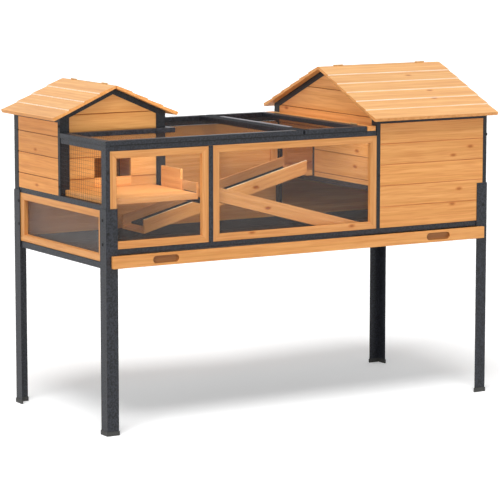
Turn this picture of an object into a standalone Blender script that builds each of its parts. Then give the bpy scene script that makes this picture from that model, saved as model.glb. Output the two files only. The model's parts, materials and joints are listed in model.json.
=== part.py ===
"""A raised tortoise house: angle-steel frame, pine boards, clear windows, wire mesh, two gabled houses,
two ramps and a pull-out tray. Metres, +Z up. x runs from the frame's left end, y from its front and
z from the floor; the origin is on the floor under the middle of the roofs' outline."""

import math

import bmesh
import bpy
from mathutils import Vector

# Clearances
FIT = 0.0003
OVERRUN = 0.010

# Steel frame
LENGTH = 1.400
DEPTH = 0.626
FLOOR_CLEARANCE = 0.508
LEG_OVERLAP = 0.183
LEG_FLANGE = 0.040
LEG_STEEL = 0.002
STEEL = 0.0015
POST_WIDE = 0.030
POST_NARROW = 0.014
LEFT_HOUSE_POST = 0.033
RAIL_LEDGE = 0.020

# Foot caps
CAP_HEIGHT = 0.014
CAP_WALL = 0.0015
CAP_FLOOR = 0.003

# Heights of the storeys
BASE_RAIL = 0.020
BASE_LEDGE = 0.055
TRAY_LIFT = 0.003
TRAY_FRONT_HEIGHT = 0.0375
TRAY_GAP = 0.0025
FRONT_RAIL = 0.017
FRONT_WINDOW_HEIGHT = 0.2955
TOP_RAIL = 0.016
MESH_FRAME_HEIGHT = 0.015
END_WINDOW_HEIGHT = 0.155
MID_RAIL = 0.0165
MID_LEDGE = 0.026

# Windows
WINDOW_BAR = 0.022
WINDOW_THICKNESS = 0.015
PANE_THICKNESS = 0.002
PANE_LAP = 0.008
MULLION_X = 0.356
MULLION_WIDTH = 0.016

# Boards
WALL_BOARD = 0.010
FLOOR_BOARD = 0.018
BOARD_PITCH = 0.067
GROOVE_WIDTH = 0.003
GROOVE_DEPTH = 0.002

# Left house
LEFT_HOUSE_WIDTH = 0.371
LEFT_HOUSE_FRONT = 0.304
LEFT_HOUSE_WALL = 0.2466
LEFT_FIRST_BOARD = 0.048
LEFT_EAVE_OVERHANG = 0.030
LEFT_GABLE_OVERHANG = 0.023
DOORWAY_LEFT = 0.122
DOORWAY_WIDTH = 0.129
DOORWAY_SILL = 0.031
DOORWAY_HEIGHT = 0.062
PLATFORM_LEFT = 0.020
PLATFORM_INSET = 0.0443
CROSS_RAIL_REACH = 0.020
CROSS_RAIL_LEDGE = 0.031
FENCE_BOARD = 0.008
FENCE_LENGTH = 0.124
FENCE_HEIGHT = 0.082

# Right house
RIGHT_HOUSE_X = 0.970
RIGHT_HOUSE_WALL = 0.2213
RIGHT_EAVE_OVERHANG = 0.025
RIGHT_GABLE_OVERHANG = 0.0245
EAVE_STRIP = 0.020
DOORWAY_POST = 0.012
INNER_DOOR_WIDTH = 0.2194
INNER_DOOR_HEIGHT = 0.148
INNER_FIRST_BOARD = 0.016
INNER_PITCH = 0.073
GABLE_FIRST_BOARD = 0.219
LANDING = 0.024

# Roofs
ROOF_PITCH = math.radians(23.4)
ROOF_BOARD = 0.011
ROOF_STEP = 0.003
RAFTER_DEPTH = 0.020
LEFT_ROOF_BOARDS = 4
RIGHT_ROOF_BOARDS = 6

# Hinges
BARREL_RADIUS = 0.002
PIN_RADIUS = 0.0011
PIN_CLEARANCE = 0.0003
LEAF = 0.0009
LEAF_HEIGHT = 0.008
KNUCKLE = 0.012
HINGE_END = 0.060
ROUND_SIDES = 12

# Mesh panels
WIRE = 0.0012
MESH_BAR = 0.023
CROSS_BAR_X = 0.6967
BATTEN_X = 0.936
BATTEN_WIDTH = 0.030
END_MESH_CELLS = (11, 6)
FRONT_MESH_CELLS = (14, 6)
REAR_MESH_CELLS = (6, 7)
LID_MESH_CELLS = (5, 14)

# Ramps
RAMP_HEIGHT = 0.045
RAMP_SIDE = 0.008
RAMP_FLOOR = 0.008
RAMP_FOOT_GAP = 0.004
FRONT_RAMP_WIDTH = 0.1055
FRONT_RAMP_SLOPE = 0.2745
FRONT_RAMP_TOP = 0.0515
FRONT_RAMP_RUN = 0.600
REAR_RAMP_GAP = 0.0859
REAR_RAMP_WIDTH = 0.148
REAR_RAMP_SLOPE = 0.2578
REAR_RAMP_TOP = 0.053
REAR_RAMP_RUN = 0.610

# Tray
TRAY_BOARD = 0.012
TRAY_FRONT_INSET = 0.0175
PAN_WALL = 0.002
PAN_SIDE_GAP = 0.003
PAN_HEIGHT = 0.034
PAN_REAR = 0.590
SLOT_LENGTH = 0.090
SLOT_HEIGHT = 0.023
SLOT_INSET = 0.199
SLOT_FLOOR = 0.003
SLOT_SIDES = 8

# Faces and levels worked out from the sizes above
SKIN = LEG_STEEL + FIT
INSIDE = SKIN + STEEL + FIT
LEG_HEIGHT = FLOOR_CLEARANCE + LEG_OVERLAP
BASE_TOP = FLOOR_CLEARANCE + BASE_RAIL
TRAY_FRONT_Z = FLOOR_CLEARANCE + TRAY_LIFT
FRONT_RAIL_Z = TRAY_FRONT_Z + TRAY_FRONT_HEIGHT + TRAY_GAP
FRONT_RAIL_TOP = FRONT_RAIL_Z + FRONT_RAIL
FRONT_WINDOW_Z = FRONT_RAIL_TOP + FIT
TOP_RAIL_Z = FRONT_WINDOW_Z + FRONT_WINDOW_HEIGHT + FIT
MESH_Z = TOP_RAIL_Z + TOP_RAIL + FIT
MESH_TOP = MESH_Z + MESH_FRAME_HEIGHT
END_WINDOW_Z = BASE_TOP + FIT
MID_RAIL_Z = END_WINDOW_Z + END_WINDOW_HEIGHT + FIT
STOREY_Z = MID_RAIL_Z + MID_RAIL
FLOOR_Z = STOREY_Z + FIT
FLOOR_TOP = FLOOR_Z + FLOOR_BOARD
RIGHT_END = LENGTH - SKIN
REAR_SKIN = DEPTH - SKIN
LEFT_HOUSE_X = (SKIN, SKIN + LEFT_HOUSE_WIDTH)
PLATFORM_RIGHT = LEFT_HOUSE_X[1] - PLATFORM_INSET
WINDOW_BACK = SKIN + WINDOW_THICKNESS
PANE_BACK = WINDOW_BACK + FIT + PANE_THICKNESS
RIDGE_GAP = LEAF + 1.5 * FIT
PITCH_RISE = math.tan(ROOF_PITCH)
LEFT_EAVE_X = LEFT_HOUSE_X[0] - LEFT_EAVE_OVERHANG - ROOF_BOARD * math.sin(ROOF_PITCH)
RIGHT_ROOF_X = (RIGHT_HOUSE_X - RIGHT_GABLE_OVERHANG, RIGHT_END + RIGHT_GABLE_OVERHANG)
REAR_INSIDE = DEPTH - INSIDE
BACK_WALL_FACE = REAR_INSIDE - WALL_BOARD
REAR_RAMP_Y = BACK_WALL_FACE - REAR_RAMP_GAP - REAR_RAMP_WIDTH
INNER_WALL_END = REAR_SKIN - POST_WIDE - FIT - INNER_DOOR_WIDTH
LEFT_POST_TOP = STOREY_Z + LEFT_HOUSE_WALL
RIGHT_POST_TOP = STOREY_Z + RIGHT_HOUSE_WALL
HOUSE_INSIDE_X = (RIGHT_HOUSE_X + STEEL + FIT, LENGTH - INSIDE)
LEFT_ROOF_Y = (LEFT_HOUSE_FRONT - LEFT_GABLE_OVERHANG, REAR_SKIN + LEFT_GABLE_OVERHANG)
PAN_Z = FLOOR_CLEARANCE + STEEL + FIT
RAMP_FOOT_Z = PAN_Z + PAN_HEIGHT + RAMP_FOOT_GAP
FRONT_RAMP_Y = INSIDE + RAIL_LEDGE + FIT
LID_AXIS_X = BATTEN_X - RIDGE_GAP
CENTRE = Vector(((LEFT_EAVE_X + RIGHT_ROOF_X[1]) / 2, DEPTH / 2, 0))

PINE = ((0.76, 0.42, 0.19), 0.6, 0.0)
STEEL_PAINT = ((0.045, 0.052, 0.065), 0.5, 0.4)
PLASTIC = ((0.10, 0.11, 0.11), 0.6, 0.0)
ACRYLIC = ((0.85, 0.90, 0.92), 0.05, 0.0)
HINGE_STEEL = ((0.62, 0.40, 0.16), 0.4, 0.8)
BLACK_WIRE = ((0.03, 0.03, 0.035), 0.5, 0.6)
PAN_PLASTIC = ((0.33, 0.34, 0.35), 0.5, 0.0)


def clear_scene():
    for old in list(bpy.data.objects):
        bpy.data.objects.remove(old, do_unlink=True)


def finish_material(obj, finish):
    colour, roughness, metallic = finish
    material = bpy.data.materials.new(obj.name)
    material.use_nodes = True
    shader = material.node_tree.nodes["Principled BSDF"]
    shader.inputs["Base Color"].default_value = (*colour, 1.0)
    shader.inputs["Roughness"].default_value = roughness
    shader.inputs["Metallic"].default_value = metallic
    obj.data.materials.append(material)


def pivot(name, point):
    """An empty on a joint's axis, which carries the pieces that move on it."""
    empty = bpy.data.objects.new(name, None)
    empty.location = Vector(point) - CENTRE
    bpy.context.scene.collection.objects.link(empty)
    return empty


def piece(name, shape, finish, parent=None):
    """Makes an object of a closed bmesh, with its origin at its own middle or on its parent's axis."""
    bmesh.ops.recalc_face_normals(shape, faces=shape.faces)
    corners = [[f(v.co[i] for v in shape.verts) for i in range(3)] for f in (min, max)]
    middle = (Vector(corners[0]) + Vector(corners[1])) / 2
    origin = parent.location + CENTRE if parent else middle
    bmesh.ops.translate(shape, vec=-origin, verts=shape.verts)
    mesh = bpy.data.meshes.new(name)
    shape.to_mesh(mesh)
    shape.free()
    obj = bpy.data.objects.new(name, mesh)
    bpy.context.scene.collection.objects.link(obj)
    if parent:
        obj.parent = parent
    else:
        obj.location = origin - CENTRE
    finish_material(obj, finish)
    return obj


def boolean(obj, tool, operation):
    """Joins a helper to an object or cuts it from the object, and hides the helper."""
    tool.hide_render = True
    tool.display_type = "WIRE"
    modifier = obj.modifiers.new(tool.name, "BOOLEAN")
    modifier.operation = operation
    modifier.object = tool
    modifier.solver = "EXACT"


def wall_x(at, inward=1):
    """A wall that runs along x: (along, depth, height) becomes a point, with depth from its face."""
    return lambda u, w, v: Vector((u, at + inward * w, v))


def wall_y(at, inward=1):
    """A wall that runs along y."""
    return lambda u, w, v: Vector((at + inward * w, u, v))


def level(at):
    """A level sheet: (x, depth above it, y) becomes a point."""
    return lambda u, w, v: Vector((u, v, at + w))


def block(x, y, z):
    shape = bmesh.new()
    bmesh.ops.create_cube(shape, size=1.0)
    for vert in shape.verts:
        for axis, (low, high) in enumerate((x, y, z)):
            vert.co[axis] = high if vert.co[axis] > 0 else low
    return shape


def slab(place, outline, near, far):
    """An outline in a wall's (along, height), from one depth to another."""
    shape = bmesh.new()
    face = shape.faces.new([shape.verts.new(place(u, near, v)) for u, v in outline])
    made = bmesh.ops.extrude_face_region(shape, geom=[face])
    moved = [item for item in made["geom"] if isinstance(item, bmesh.types.BMVert)]
    bmesh.ops.translate(shape, vec=place(0, far, 0) - place(0, near, 0), verts=moved)
    return shape


def rectangle(u, v):
    return [(u[0], v[0]), (u[1], v[0]), (u[1], v[1]), (u[0], v[1])]


def lattice(place, us, vs, is_solid, near, far):
    """A flat sheet on a grid of lines, with only its solid cells: a window frame or a net."""
    shape = bmesh.new()
    verts = {}
    for i in range(len(us) - 1):
        for j in range(len(vs) - 1):
            if is_solid(i, j):
                ring = [(i, j), (i + 1, j), (i + 1, j + 1), (i, j + 1)]
                for a, b in ring:
                    if (a, b) not in verts:
                        verts[a, b] = shape.verts.new(place(us[a], near, vs[b]))
                shape.faces.new([verts[key] for key in ring])
    made = bmesh.ops.extrude_face_region(shape, geom=list(shape.faces))
    moved = [item for item in made["geom"] if isinstance(item, bmesh.types.BMVert)]
    bmesh.ops.translate(shape, vec=place(0, far, 0) - place(0, near, 0), verts=moved)
    return shape


def border(place, u, v, bar, near, far):
    """A rectangular frame of bars."""
    us = (u[0], u[0] + bar, u[1] - bar, u[1])
    vs = (v[0], v[0] + bar, v[1] - bar, v[1])
    return lattice(place, us, vs, lambda i, j: (i, j) != (1, 1), near, far)


def loft(stations):
    """A closed solid through cross-sections that have the same number of points."""
    shape = bmesh.new()
    rings = [[shape.verts.new(point) for point in station] for station in stations]
    for ring, following in zip(rings, rings[1:]):
        for k in range(len(ring)):
            after = (k + 1) % len(ring)
            shape.faces.new((ring[k], ring[after], following[after], following[k]))
    shape.faces.new(rings[0])
    shape.faces.new(rings[-1])
    return shape


def folded(place, outer, inset, inner, deep, steel=STEEL):
    """An angle bent along a line: one flange lies in the wall, the other turns in along the outer line."""
    stations = []
    for edge, fold, inside in zip(outer, inset, inner):
        depths = ((edge, 0), (edge, deep), (fold, deep), (fold, steel), (inside, steel), (inside, 0))
        stations.append([place(point[0], depth, point[1]) for point, depth in depths])
    return loft(stations)


def gable_line(side, foot, post_top, steps):
    """The line up one post, over the ridge and down the other, set in by (sideways, downwards)."""
    sideways, down = steps
    low, high = side
    middle = (low + high) / 2
    ridge = post_top + PITCH_RISE * (high - low) / 2 - down
    shoulder = post_top + PITCH_RISE * sideways - down
    return [
        (low + sideways, foot[0]),
        (low + sideways, shoulder),
        (middle, ridge),
        (high - sideways, shoulder),
        (high - sideways, foot[1]),
    ]


def gable_frame(place, side, foot, post_top, post, turned):
    """Two posts and the rafters between them, bent from one angle."""
    slant = STEEL / math.cos(ROOF_PITCH)
    outer = gable_line(side, foot, post_top, (0, 0))
    inset = gable_line(side, foot, post_top, (STEEL, slant))
    inner = gable_line(side, foot, post_top, (post, RAFTER_DEPTH))
    return folded(place, outer, inset, inner, turned)


def corner_outline(x, y, flange_x, flange_y, steel, grow=0):
    """Plan of an upright angle whose outer corner is at x, y, grown on every side; the flanges' signs
    say which way they run."""
    sx = math.copysign(1, flange_x)
    sy = math.copysign(1, flange_y)
    near_x, near_y = x - sx * grow, y - sy * grow
    fold_x, fold_y = x + sx * (steel + grow), y + sy * (steel + grow)
    far_x, far_y = x + flange_x + sx * grow, y + flange_y + sy * grow
    return [
        (near_x, near_y),
        (far_x, near_y),
        (far_x, fold_y),
        (fold_x, fold_y),
        (fold_x, far_y),
        (near_x, far_y),
    ]


def corner_angle(x, y, z, flange_x, flange_y, steel=STEEL):
    return slab(level(0), corner_outline(x, y, flange_x, flange_y, steel), z[0], z[1])


def angle_run(points, inwards, z, ledge, ledge_on_top):
    """Angle rails along a level line: a flange stands on the line, and a ledge runs inwards from it.

    inwards gives for each point the way in, mitred at a corner."""
    low, high = z
    tip = high if ledge_on_top else low
    under = tip - STEEL if ledge_on_top else tip + STEEL
    far = low if ledge_on_top else high
    stations = []
    for point, way in zip(points, inwards):
        section = ((0, far), (0, tip), (ledge, tip), (ledge, under), (STEEL, under), (STEEL, far))
        stations.append([Vector((point[0] + way[0] * s, point[1] + way[1] * s, v)) for s, v in section])
    return loft(stations)


def grooves(name, place, u, seams, depth):
    """V cuts across a board wall at the seams between its boards, for cutting from its face."""
    joined = bmesh.new()
    for seam in seams:
        section = ((seam - GROOVE_WIDTH / 2, -OVERRUN), (seam - GROOVE_WIDTH / 2, 0), (seam, GROOVE_DEPTH),
                   (seam + GROOVE_WIDTH / 2, 0), (seam + GROOVE_WIDTH / 2, -OVERRUN))
        groove = loft([[place(end, depth + w, v) for v, w in section] for end in u])
        mesh = bpy.data.meshes.new(name)
        groove.to_mesh(mesh)
        groove.free()
        joined.from_mesh(mesh)
    return piece(name, joined, PINE)


def board_wall(name, place, outline, seams, near=0):
    """A wall of boards with a groove at each seam of its outer face."""
    wall = piece(name, slab(place, outline, near, near + WALL_BOARD), PINE)
    us = [u for u, v in outline]
    vs = [v for u, v in outline]
    cuts = [seam for seam in seams if min(vs) + GROOVE_WIDTH < seam < max(vs) - GROOVE_WIDTH]
    if cuts:
        span = (min(us) - OVERRUN, max(us) + OVERRUN)
        boolean(wall, grooves(name + "_grooves", place, span, cuts, near), "DIFFERENCE")
    return wall


def seams_from(first, pitch, top):
    count = max(0, math.ceil((top - first) / pitch))
    return [first + pitch * k for k in range(count)]


def roof_underside(side, post_top, at):
    """Height of a roof's underside at a distance along its gable."""
    middle = sum(side) / 2
    return post_top + FIT + PITCH_RISE * ((side[1] - side[0]) / 2 - abs(at - middle))


def roof_slope(name, place, side, post_top, overhang, boards, end, sign, parent=None):
    """One slope of lapped boards, from the ridge joint down to the eave; sign says to which side."""
    middle = sum(side) / 2
    reach = (side[1] - side[0]) / 2 + overhang
    ridge = roof_underside(side, post_top, middle)
    start = RIDGE_GAP
    down = (math.cos(ROOF_PITCH), -math.sin(ROOF_PITCH))
    up = (math.sin(ROOF_PITCH), math.cos(ROOF_PITCH))
    run = (reach - start) / math.cos(ROOF_PITCH)
    thin = ROOF_BOARD - ROOF_STEP
    profile = [(0, 0), (run, 0)]
    for k in range(boards, 0, -1):
        profile.append((run * k / boards, ROOF_BOARD))
        upper = run * (k - 1) / boards if k > 1 else -thin * math.tan(ROOF_PITCH)
        profile.append((upper, thin))
    outline = []
    for s, t in profile:
        along = start + s * down[0] + t * up[0]
        outline.append((middle + sign * along, ridge - PITCH_RISE * start + s * down[1] + t * up[1]))
    return piece(name, slab(place, outline, end[0], end[1]), PINE, parent)


def round_bar(place, centre, radius, near, far):
    """A faceted rod along a wall's depth, about a centre in (along, height)."""
    turn = [2 * math.pi * (k + 1 / 2) / ROUND_SIDES for k in range(ROUND_SIDES)]
    outline = [(centre[0] + radius * math.cos(a), centre[1] + radius * math.sin(a)) for a in turn]
    return slab(place, outline, near, far)


def helper(name, shape):
    """A piece that only joins or cuts another."""
    obj = piece(name, shape, HINGE_STEEL)
    obj.hide_render = True
    obj.display_type = "WIRE"
    return obj


def hinge(name, place, centre, ends, sign, parent):
    """A hinge whose leaves hang in the joint under its barrel. The fixed half holds the pin and two
    knuckles at each end; the moving half has the bored knuckle between them. sign is the side that moves."""
    axis, height = centre
    leaf_top = height - BARREL_RADIUS / 2
    leaf_low = height - BARREL_RADIUS - FIT - LEAF_HEIGHT
    notch = rectangle((axis - LEAF - FIT, axis + LEAF + FIT), (height - BARREL_RADIUS - FIT, height))
    starts = {"near": ends[0] + HINGE_END, "far": ends[1] - HINGE_END - 3 * KNUCKLE}
    for kind, side in (("fixed", -sign), ("moving", sign)):
        us = (axis + side * FIT / 2, axis + side * (FIT / 2 + LEAF))
        span = (starts["near"], starts["far"] + 3 * KNUCKLE)
        leaf = slab(place, rectangle(us, (leaf_low, leaf_top)), *span)
        half = piece(f"{name}_{kind}_half", leaf, HINGE_STEEL, parent if kind == "moving" else None)
        for end, start in starts.items():
            stop = start + 3 * KNUCKLE
            middle = (start + KNUCKLE + FIT / 2, stop - KNUCKLE - FIT / 2)
            if kind == "fixed":
                gaps = ((middle[0] - FIT, middle[1] + FIT),)
                knuckles = ((start, middle[0] - FIT), (middle[1] + FIT, stop))
            else:
                gaps = ((start - OVERRUN, middle[0]), (middle[1], stop + OVERRUN))
                knuckles = (middle,)
            for k, gap in enumerate(gaps):
                cut = helper(f"{name}_{kind}_{end}_notch_{k}", slab(place, notch, *gap))
                boolean(half, cut, "DIFFERENCE")
            for k, knuckle in enumerate(knuckles):
                barrel = round_bar(place, centre, BARREL_RADIUS, *knuckle)
                boolean(half, helper(f"{name}_{kind}_{end}_knuckle_{k}", barrel), "UNION")
            if kind == "fixed":
                pin = round_bar(place, centre, PIN_RADIUS, start, stop)
                boolean(half, helper(f"{name}_{end}_pin", pin), "UNION")
            else:
                bore = round_bar(place, centre, PIN_RADIUS + PIN_CLEARANCE, start - FIT, stop + FIT)
                boolean(half, helper(f"{name}_{end}_bore", bore), "DIFFERENCE")


def ridge_axis(side, post_top):
    """Height of a ridge hinge's axis: its barrel lies on the top edges of both slopes."""
    edge = roof_underside(side, post_top, sum(side) / 2) - PITCH_RISE * RIDGE_GAP
    return edge + (ROOF_BOARD - ROOF_STEP) / math.cos(ROOF_PITCH) + BARREL_RADIUS + FIT


def wire_lines(start, stop, cells):
    """Both edges of each wire of a net, from one end to the other."""
    pitch = (stop - WIRE - start) / cells
    return [start + pitch * k + edge for k in range(cells + 1) for edge in (0, WIRE)]


def net(place, us, vs, cells, depth=0):
    """A welded net, two wires deep: wires where either line index is even."""
    across = wire_lines(*us, cells[0])
    up = wire_lines(*vs, cells[1])
    return lattice(place, across, up, lambda i, j: i % 2 == 0 or j % 2 == 0, depth, depth + 2 * WIRE)


def make_legs():
    ends = {
        "front_left": (0, 0),
        "front_right": (LENGTH, 0),
        "rear_left": (0, DEPTH),
        "rear_right": (LENGTH, DEPTH),
    }
    for corner, (x, y) in ends.items():
        flange_x = math.copysign(LEG_FLANGE, LENGTH / 2 - x)
        flange_y = math.copysign(LEG_FLANGE, DEPTH / 2 - y)
        leg = corner_angle(x, y, (CAP_FLOOR + FIT, LEG_HEIGHT), flange_x, flange_y, LEG_STEEL)
        piece(f"{corner}_leg", leg, STEEL_PAINT)
        outside = corner_outline(x, y, flange_x, flange_y, LEG_STEEL, FIT + CAP_WALL)
        pocket = corner_outline(x, y, flange_x, flange_y, LEG_STEEL, FIT)
        cap = piece(f"{corner}_foot_cap", slab(level(0), outside, 0, CAP_HEIGHT), PLASTIC)
        cut = helper(f"{corner}_foot_pocket", slab(level(0), pocket, CAP_FLOOR, CAP_HEIGHT + OVERRUN))
        boolean(cap, cut, "DIFFERENCE")


def make_posts_and_gables():
    low = (FLOOR_CLEARANCE, FLOOR_CLEARANCE)
    height = (low[0], TOP_RAIL_Z + TOP_RAIL)
    post = corner_angle(SKIN, SKIN, height, POST_NARROW, POST_WIDE)
    piece("front_left_post", post, STEEL_PAINT)

    top, post = LEFT_POST_TOP, LEFT_HOUSE_POST
    sill = (FLOOR_Z, FLOOR_Z)
    front = gable_frame(wall_x(LEFT_HOUSE_FRONT), LEFT_HOUSE_X, sill, top, post, POST_NARROW)
    piece("left_house_front_frame", front, STEEL_PAINT)
    feet = (FLOOR_CLEARANCE, FLOOR_Z)
    rear = gable_frame(wall_x(REAR_SKIN, -1), LEFT_HOUSE_X, feet, top, post, POST_WIDE)
    rear_frame = piece("left_house_rear_frame", rear, STEEL_PAINT)
    strip_z = (LEFT_POST_TOP - EAVE_STRIP, LEFT_POST_TOP)
    strip_y = (LEFT_HOUSE_FRONT + POST_NARROW + FIT, REAR_SKIN - POST_WIDE / 2)
    for name, face, way in (("outer", LEFT_HOUSE_X[0], 1), ("inner", LEFT_HOUSE_X[1], -1)):
        strip = slab(wall_y(face, way), rectangle(strip_y, strip_z), 0, STEEL)
        boolean(rear_frame, helper(f"left_{name}_eave_strip", strip), "UNION")

    span = (SKIN, REAR_SKIN)
    feet = (FRONT_RAIL_TOP + FIT, BASE_TOP + FIT)
    inner = gable_frame(wall_y(RIGHT_HOUSE_X), span, feet, RIGHT_POST_TOP, POST_WIDE, POST_NARROW)
    piece("right_house_inner_frame", inner, STEEL_PAINT)
    outer = gable_frame(wall_y(RIGHT_END, -1), span, low, RIGHT_POST_TOP, POST_WIDE, POST_NARROW)
    outer_frame = piece("right_house_outer_frame", outer, STEEL_PAINT)
    strip_z = (RIGHT_POST_TOP - EAVE_STRIP, RIGHT_POST_TOP)
    strip_x = (RIGHT_HOUSE_X + POST_NARROW + FIT, RIGHT_END - POST_NARROW / 2)
    for name, face, way in (("front", SKIN, 1), ("rear", REAR_SKIN, -1)):
        strip = slab(wall_x(face, way), rectangle(strip_x, strip_z), 0, STEEL)
        boolean(outer_frame, helper(f"right_{name}_eave_strip", strip), "UNION")


def make_rails():
    left, right = INSIDE, LENGTH - INSIDE
    corners = [(left, INSIDE), (left, REAR_INSIDE), (right, REAR_INSIDE), (right, INSIDE)]
    ways = [(1, 0), (1, -1), (-1, -1), (-1, 0)]
    base = angle_run(corners, ways, (FLOOR_CLEARANCE, BASE_TOP), BASE_LEDGE, False)
    piece("base_frame", base, STEEL_PAINT)

    ends = [(INSIDE + WINDOW_THICKNESS + FIT, INSIDE), (HOUSE_INSIDE_X[1] - WALL_BOARD - FIT, INSIDE)]
    front = angle_run(ends, [(0, 1), (0, 1)], (FRONT_RAIL_Z, FRONT_RAIL_TOP), RAIL_LEDGE, True)
    front_rail = piece("base_rail_front", front, STEEL_PAINT)
    height = (FRONT_RAIL_TOP - STEEL / 2, TOP_RAIL_Z - FIT)
    mullion = corner_angle(MULLION_X, SKIN, height, MULLION_WIDTH, WINDOW_THICKNESS)
    boolean(front_rail, helper("front_mullion", mullion), "UNION")

    storey = (MID_RAIL_Z, STOREY_Z)
    run_y = (PANE_BACK + FIT, BACK_WALL_FACE - FIT)
    rail = angle_run([(left, y) for y in run_y], [(1, 0), (1, 0)], storey, MID_LEDGE, True)
    piece("mid_rail_left", rail, STEEL_PAINT)
    cross_x = PLATFORM_RIGHT + CROSS_RAIL_REACH
    rail = angle_run([(cross_x, y) for y in run_y], [(-1, 0), (-1, 0)], storey, CROSS_RAIL_LEDGE, True)
    piece("mid_rail_cross", rail, STEEL_PAINT)

    near, far = HOUSE_INSIDE_X[0], HOUSE_INSIDE_X[1] - WALL_BOARD - FIT
    front_y = SKIN + WALL_BOARD + FIT
    corners = [(near, front_y), (near, run_y[1]), (far, run_y[1]), (far, front_y)]
    rail = angle_run(corners, ways, storey, MID_LEDGE, True)
    house_rail = piece("right_house_floor_rail", rail, STEEL_PAINT)
    post_y = (INNER_WALL_END + FIT, INNER_WALL_END + FIT + DOORWAY_POST)
    post_z = (MID_RAIL_Z + MID_RAIL / 2, FLOOR_Z + INNER_DOOR_HEIGHT - FIT)
    post = slab(wall_y(near), rectangle(post_y, post_z), 0, STEEL)
    boolean(house_rail, helper("doorway_post", post), "UNION")

    band = (TOP_RAIL_Z, TOP_RAIL_Z + TOP_RAIL)
    line = [(RIGHT_HOUSE_X - FIT, INSIDE), (left, INSIDE), (left, LEFT_HOUSE_FRONT - FIT)]
    top = angle_run(line, [(0, 1), (1, 1), (1, 0)], band, RAIL_LEDGE, True)
    piece("top_rail_front", top, STEEL_PAINT)
    line = [(LEFT_HOUSE_X[1] + FIT, REAR_INSIDE), (RIGHT_HOUSE_X - FIT, REAR_INSIDE)]
    piece("top_rail_rear", angle_run(line, [(0, -1), (0, -1)], band, RAIL_LEDGE, True), STEEL_PAINT)
    clear = RAIL_LEDGE + FIT
    line = [(CROSS_BAR_X - RAIL_LEDGE / 2, y) for y in (INSIDE + clear, REAR_INSIDE - clear)]
    piece("top_cross_bar", angle_run(line, [(1, 0), (1, 0)], band, RAIL_LEDGE, True), STEEL_PAINT)


def make_mesh_panels(lid_pivot):
    notch_x, notch_y = LEFT_HOUSE_X[1] + FIT, LEFT_HOUSE_FRONT - FIT
    us = [SKIN, SKIN + MESH_BAR, notch_x, notch_x + MESH_BAR, CROSS_BAR_X - MESH_BAR, CROSS_BAR_X]
    vs = [SKIN, SKIN + MESH_BAR, notch_y - MESH_BAR, notch_y, REAR_SKIN - MESH_BAR, REAR_SKIN]

    def on_frame(i, j):
        beside_house = i >= 2 or j <= 2
        edge = j in (0, 4) or i in (0, 4) or (j == 2 and i <= 2) or (i == 2 and j >= 2)
        return beside_house and edge

    frame = lattice(level(MESH_Z), us, vs, on_frame, 0, MESH_FRAME_HEIGHT)
    piece("roof_mesh_frame", frame, STEEL_PAINT)

    right = us[4] - FIT
    front = net(level(MESH_Z), (us[1] + FIT, right), (vs[1] + FIT, vs[2]), FRONT_MESH_CELLS)
    piece("roof_mesh_front", front, BLACK_WIRE)
    rear = net(level(MESH_Z), (us[3] + FIT, right), (vs[2] + FIT, vs[4] - FIT), REAR_MESH_CELLS)
    piece("roof_mesh_rear", rear, BLACK_WIRE)

    lid_x = (CROSS_BAR_X + FIT, LID_AXIS_X - RIDGE_GAP)
    lid_y = (SKIN, REAR_SKIN)
    lid = border(level(MESH_Z), lid_x, lid_y, MESH_BAR, 0, MESH_FRAME_HEIGHT)
    piece("mesh_lid_frame", lid, STEEL_PAINT, lid_pivot)
    inset = MESH_BAR + FIT
    opening = [(low + inset, high - inset) for low, high in (lid_x, lid_y)]
    piece("mesh_lid_net", net(level(MESH_Z), *opening, LID_MESH_CELLS), BLACK_WIRE, lid_pivot)
    batten_x = (BATTEN_X, BATTEN_X + BATTEN_WIDTH)
    piece("lid_batten", block(batten_x, lid_y, (MESH_Z, MESH_TOP)), PINE)

    end_y = (INSIDE, LEFT_HOUSE_FRONT - FIT)
    end_z = (FLOOR_Z, TOP_RAIL_Z - FIT)
    piece("end_mesh", net(wall_y(INSIDE), end_y, end_z, END_MESH_CELLS), BLACK_WIRE)


def gable_outline(side, foot, post_top):
    """A gable wall that fits inside its frame's turned flanges."""
    slant = STEEL / math.cos(ROOF_PITCH)
    return gable_line(side, (foot, foot), post_top, (STEEL + FIT, slant + 2 * FIT))


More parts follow.
